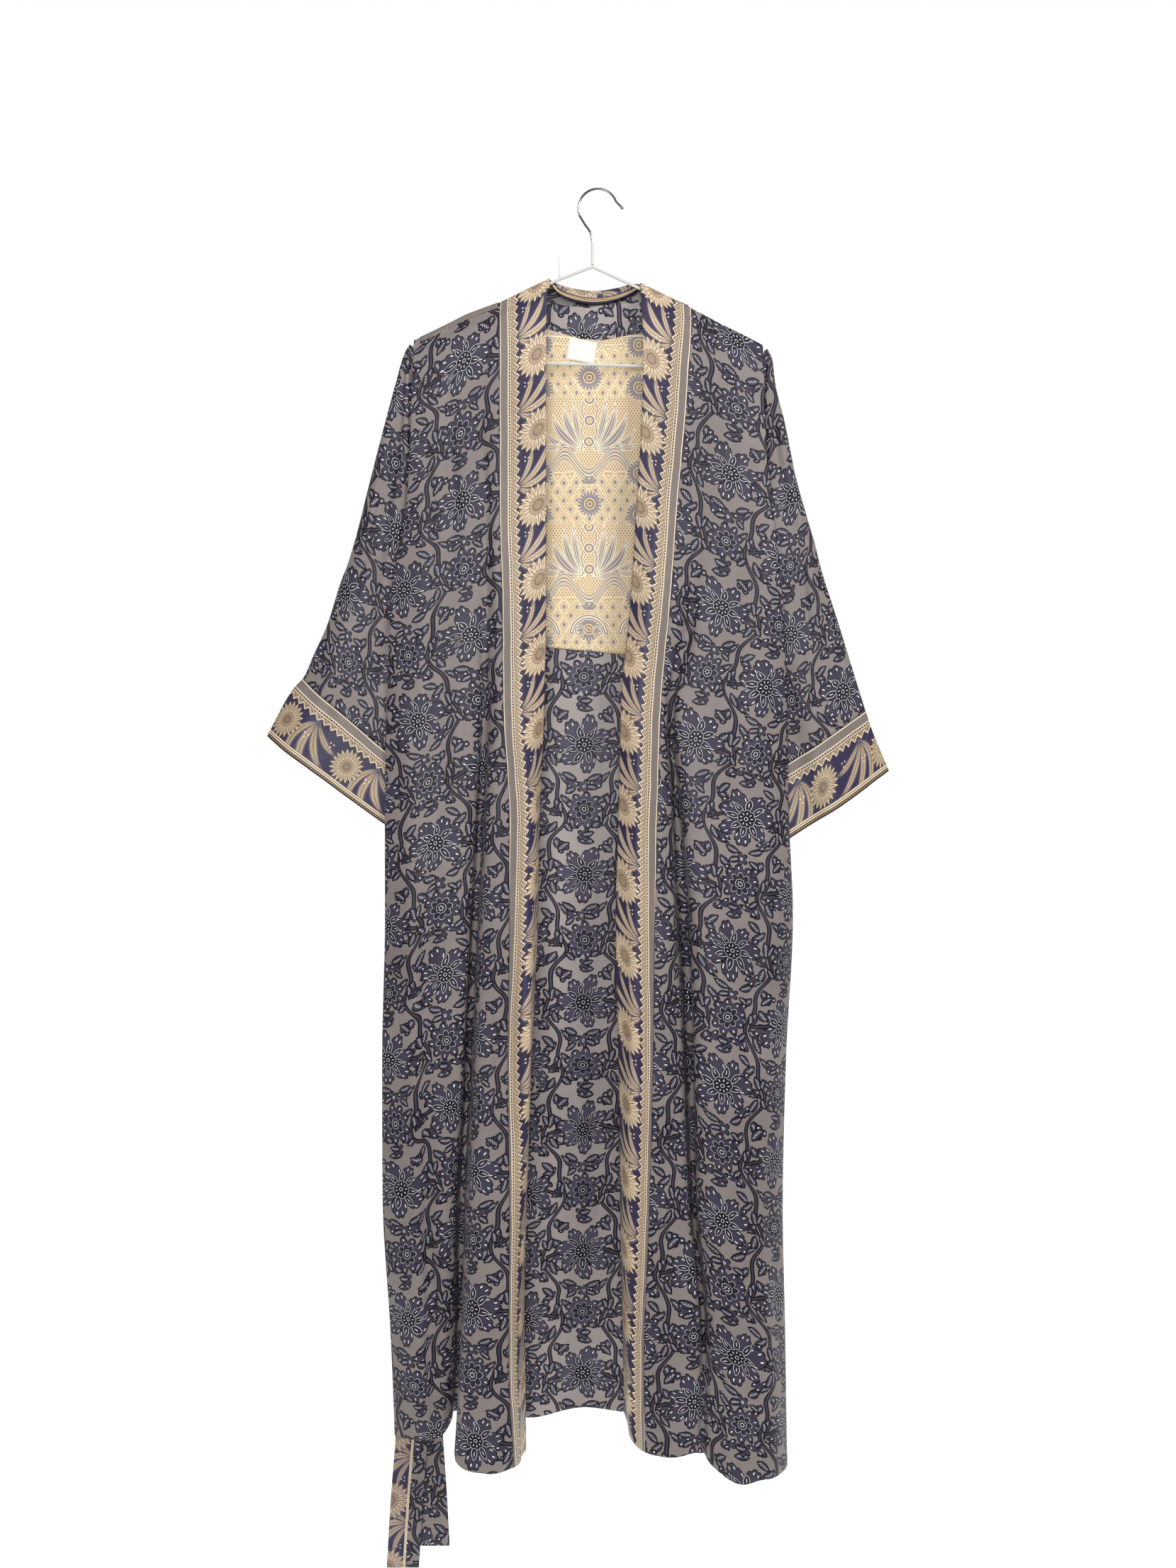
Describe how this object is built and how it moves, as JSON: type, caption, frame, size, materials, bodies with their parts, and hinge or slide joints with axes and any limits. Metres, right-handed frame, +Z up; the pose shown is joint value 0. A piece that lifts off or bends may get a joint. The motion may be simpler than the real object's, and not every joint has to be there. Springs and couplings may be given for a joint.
{
  "type": "open robe on a wire hanger",
  "caption": "Long open kimono-style robe with wide sleeves, cuffs, front bands and a hanging belt, on a slim wire clothes hanger with a hook.",
  "frame": {"origin": "where the top of the hanger's hook rests on its support, on the inner side of the wire", "axes": "+Z up along the hanging robe, -Y towards its front, +X to the right of someone who looks at the front"},
  "size_m": [0.7434, 0.1157, 1.6726],
  "materials": {
    "printed_cloth": "silky floral print in blue-violet on grey-taupe",
    "border_cloth": "satin border print in pale gold on navy",
    "gold_cloth": "tan-gold print",
    "label_tape": "plain woven tape",
    "coated_wire": "white coated",
    "bright_wire": "bright"
  },
  "bodies": {
    "root": {"front_shoulder_left": "printed_cloth", "front_side_left": "printed_cloth", "front_left": "printed_cloth", "front_shoulder_right": "printed_cloth", "front_side_right": "printed_cloth", "front_right": "printed_cloth", "back_shoulder_left": "printed_cloth", "back_neck": "printed_cloth", "back_shoulder_right": "printed_cloth", "back_armhole_left": "printed_cloth", "back_chest": "printed_cloth", "back_armhole_right": "printed_cloth", "back_side_left": "printed_cloth", "back": "printed_cloth", "back_side_right": "printed_cloth", "sleeve_left": "printed_cloth", "sleeve_right": "printed_cloth", "cuff_left": "border_cloth", "cuff_right": "border_cloth", "band_shoulder_left": "border_cloth", "band_left": "border_cloth", "band_shoulder_right": "border_cloth", "band_right": "border_cloth", "neck_band": "printed_cloth", "back_facing": "gold_cloth", "label": "label_tape", "belt": "border_cloth", "belt_loop": "printed_cloth", "hanger_frame": "coated_wire", "hanger_neck": "coated_wire", "hanger_notch": "coated_wire", "hanger_hook": "bright_wire"}
  },
  "joints": []
}
